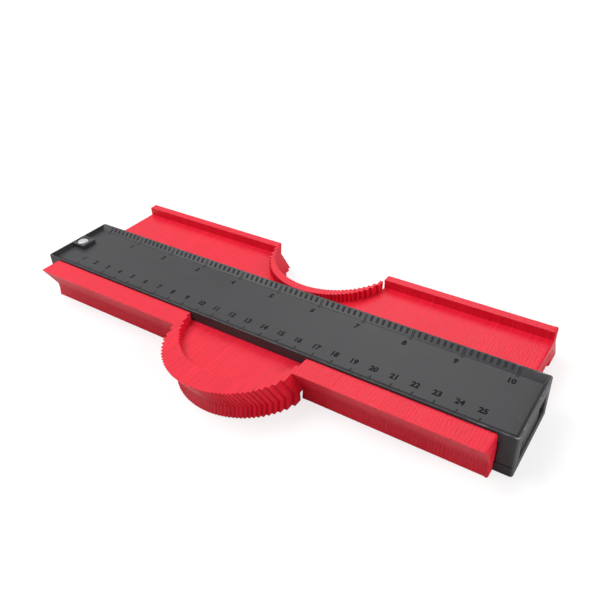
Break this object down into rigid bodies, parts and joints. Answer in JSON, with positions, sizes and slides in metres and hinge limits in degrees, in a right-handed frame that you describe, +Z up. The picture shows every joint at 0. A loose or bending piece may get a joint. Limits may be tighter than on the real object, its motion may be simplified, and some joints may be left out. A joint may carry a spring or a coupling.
{
  "type": "contour gauge",
  "caption": "Contour gauge: a ruler frame with a stack of thin sliding leaves that takes the outline of what it is pressed against, and a cam lock.",
  "frame": {"origin": "middle of the flat underside of the bottom cover, which the gauge rests on", "axes": "+X along the scale from zero to ten inches, +Y away from the reader along the leaves' travel, +Z up from the underside to the scale"},
  "size_m": [0.2762, 0.1284, 0.022],
  "materials": {
    "dark_plastic": "satin moulded ABS, dark grey",
    "red_plastic": "semi-gloss moulded ABS, red",
    "strip_rubber": "matt foam rubber",
    "bright_steel": "bright zinc plated",
    "lever_metal": "black painted zinc casting"
  },
  "bodies": {
    "frame": {"top_cover": "dark_plastic", "bottom_cover": "dark_plastic", "upper_strip": "strip_rubber", "lower_strip": "strip_rubber", "clamp_bolt": "bright_steel", "lever_pin": "bright_steel", "cover_screw_1": "bright_steel", "cover_screw_2": "bright_steel"},
    "lock": {"lock_lever": "lever_metal"},
    "leaves_01": {"leaves_01": "red_plastic"},
    "leaves_02": {"leaves_02": "red_plastic"},
    "leaves_03": {"leaves_03": "red_plastic"},
    "leaves_04": {"leaves_04": "red_plastic"},
    "leaves_05": {"leaves_05": "red_plastic"},
    "leaves_06": {"leaves_06": "red_plastic"},
    "leaves_07": {"leaves_07": "red_plastic"},
    "leaves_08": {"leaves_08": "red_plastic"},
    "leaves_09": {"leaves_09": "red_plastic"},
    "leaves_10": {"leaves_10": "red_plastic"},
    "leaves_11": {"leaves_11": "red_plastic"},
    "leaves_12": {"leaves_12": "red_plastic"},
    "leaves_13": {"leaves_13": "red_plastic"},
    "leaves_14": {"leaves_14": "red_plastic"},
    "leaves_15": {"leaves_15": "red_plastic"},
    "leaves_16": {"leaves_16": "red_plastic"},
    "leaves_17": {"leaves_17": "red_plastic"},
    "leaves_18": {"leaves_18": "red_plastic"},
    "leaves_19": {"leaves_19": "red_plastic"},
    "leaves_20": {"leaves_20": "red_plastic"},
    "leaves_21": {"leaves_21": "red_plastic"},
    "leaves_22": {"leaves_22": "red_plastic"},
    "leaves_23": {"leaves_23": "red_plastic"},
    "leaves_24": {"leaves_24": "red_plastic"},
    "leaves_25": {"leaves_25": "red_plastic"},
    "leaves_26": {"leaves_26": "red_plastic"},
    "leaves_27": {"leaves_27": "red_plastic"},
    "leaves_28": {"leaves_28": "red_plastic"},
    "leaves_29": {"leaves_29": "red_plastic"},
    "leaves_30": {"leaves_30": "red_plastic"},
    "leaves_31": {"leaves_31": "red_plastic"},
    "leaves_32": {"leaves_32": "red_plastic"},
    "leaves_33": {"leaves_33": "red_plastic"},
    "leaves_34": {"leaves_34": "red_plastic"},
    "leaves_35": {"leaves_35": "red_plastic"},
    "leaves_36": {"leaves_36": "red_plastic"},
    "leaves_37": {"leaves_37": "red_plastic"},
    "leaves_38": {"leaves_38": "red_plastic"},
    "leaves_39": {"leaves_39": "red_plastic"},
    "leaves_40": {"leaves_40": "red_plastic"}
  },
  "joints": [
    {"name": "lock_swing", "type": "hinge", "parent": "frame", "child": "lock", "pos_m": [-0.13365, 0, 0.0019], "axis": [0, 1, 0], "range_deg": [0, 180]},
    {"name": "slide_01", "type": "slide", "parent": "frame", "child": "leaves_01", "axis": [0, -1, 0], "range_m": [0, 0.0311]},
    {"name": "slide_02", "type": "slide", "parent": "frame", "child": "leaves_02", "axis": [0, -1, 0], "range_m": [0, 0.0311]},
    {"name": "slide_03", "type": "slide", "parent": "frame", "child": "leaves_03", "axis": [0, -1, 0], "range_m": [0, 0.0311]},
    {"name": "slide_04", "type": "slide", "parent": "frame", "child": "leaves_04", "axis": [0, -1, 0], "range_m": [0, 0.0311]},
    {"name": "slide_05", "type": "slide", "parent": "frame", "child": "leaves_05", "axis": [0, -1, 0], "range_m": [0, 0.0311]},
    {"name": "slide_06", "type": "slide", "parent": "frame", "child": "leaves_06", "axis": [0, -1, 0], "range_m": [0, 0.0311]},
    {"name": "slide_07", "type": "slide", "parent": "frame", "child": "leaves_07", "axis": [0, -1, 0], "range_m": [0, 0.0311]},
    {"name": "slide_08", "type": "slide", "parent": "frame", "child": "leaves_08", "axis": [0, -1, 0], "range_m": [0, 0.0311]},
    {"name": "slide_09", "type": "slide", "parent": "frame", "child": "leaves_09", "axis": [0, -1, 0], "range_m": [0, 0.0311]},
    {"name": "slide_10", "type": "slide", "parent": "frame", "child": "leaves_10", "axis": [0, -1, 0], "range_m": [0, 0.0311]},
    {"name": "slide_11", "type": "slide", "parent": "frame", "child": "leaves_11", "axis": [0, -1, 0], "range_m": [0, 0.0311]},
    {"name": "slide_12", "type": "slide", "parent": "frame", "child": "leaves_12", "axis": [0, -1, 0], "range_m": [0, 0.0311]},
    {"name": "slide_13", "type": "slide", "parent": "frame", "child": "leaves_13", "axis": [0, -1, 0], "range_m": [0, 0.0311]},
    {"name": "slide_14", "type": "slide", "parent": "frame", "child": "leaves_14", "axis": [0, -1, 0], "range_m": [0, 0.0311]},
    {"name": "slide_15", "type": "slide", "parent": "frame", "child": "leaves_15", "axis": [0, -1, 0], "range_m": [0, 0.0311]},
    {"name": "slide_16", "type": "slide", "parent": "frame", "child": "leaves_16", "axis": [0, -1, 0], "range_m": [0, 0.02313]},
    {"name": "slide_17", "type": "slide", "parent": "frame", "child": "leaves_17", "axis": [0, -1, 0], "range_m": [-0.01163, 0.01281]},
    {"name": "slide_18", "type": "slide", "parent": "frame", "child": "leaves_18", "axis": [0, -1, 0], "range_m": [-0.0201, 0.00715]},
    {"name": "slide_19", "type": "slide", "parent": "frame", "child": "leaves_19", "axis": [0, -1, 0], "range_m": [-0.02506, 0.00366]},
    {"name": "slide_20", "type": "slide", "parent": "frame", "child": "leaves_20", "axis": [0, -1, 0], "range_m": [-0.02809, 0.0017]},
    {"name": "slide_21", "type": "slide", "parent": "frame", "child": "leaves_21", "axis": [0, -1, 0], "range_m": [-0.0297, 0.001]},
    {"name": "slide_22", "type": "slide", "parent": "frame", "child": "leaves_22", "axis": [0, -1, 0], "range_m": [-0.0296, 0.00102]},
    {"name": "slide_23", "type": "slide", "parent": "frame", "child": "leaves_23", "axis": [0, -1, 0], "range_m": [-0.02786, 0.00184]},
    {"name": "slide_24", "type": "slide", "parent": "frame", "child": "leaves_24", "axis": [0, -1, 0], "range_m": [-0.02466, 0.00394]},
    {"name": "slide_25", "type": "slide", "parent": "frame", "child": "leaves_25", "axis": [0, -1, 0], "range_m": [-0.01946, 0.0076]},
    {"name": "slide_26", "type": "slide", "parent": "frame", "child": "leaves_26", "axis": [0, -1, 0], "range_m": [-0.01039, 0.01355]},
    {"name": "slide_27", "type": "slide", "parent": "frame", "child": "leaves_27", "axis": [0, -1, 0], "range_m": [0, 0.02483]},
    {"name": "slide_28", "type": "slide", "parent": "frame", "child": "leaves_28", "axis": [0, -1, 0], "range_m": [0, 0.0311]},
    {"name": "slide_29", "type": "slide", "parent": "frame", "child": "leaves_29", "axis": [0, -1, 0], "range_m": [0, 0.0311]},
    {"name": "slide_30", "type": "slide", "parent": "frame", "child": "leaves_30", "axis": [0, -1, 0], "range_m": [0, 0.0311]},
    {"name": "slide_31", "type": "slide", "parent": "frame", "child": "leaves_31", "axis": [0, -1, 0], "range_m": [0, 0.0311]},
    {"name": "slide_32", "type": "slide", "parent": "frame", "child": "leaves_32", "axis": [0, -1, 0], "range_m": [0, 0.0311]},
    {"name": "slide_33", "type": "slide", "parent": "frame", "child": "leaves_33", "axis": [0, -1, 0], "range_m": [0, 0.0311]},
    {"name": "slide_34", "type": "slide", "parent": "frame", "child": "leaves_34", "axis": [0, -1, 0], "range_m": [0, 0.0311]},
    {"name": "slide_35", "type": "slide", "parent": "frame", "child": "leaves_35", "axis": [0, -1, 0], "range_m": [0, 0.0311]},
    {"name": "slide_36", "type": "slide", "parent": "frame", "child": "leaves_36", "axis": [0, -1, 0], "range_m": [0, 0.0311]},
    {"name": "slide_37", "type": "slide", "parent": "frame", "child": "leaves_37", "axis": [0, -1, 0], "range_m": [0, 0.0311]},
    {"name": "slide_38", "type": "slide", "parent": "frame", "child": "leaves_38", "axis": [0, -1, 0], "range_m": [0, 0.0311]},
    {"name": "slide_39", "type": "slide", "parent": "frame", "child": "leaves_39", "axis": [0, -1, 0], "range_m": [0, 0.0311]},
    {"name": "slide_40", "type": "slide", "parent": "frame", "child": "leaves_40", "axis": [0, -1, 0], "range_m": [0, 0.0311]}
  ]
}
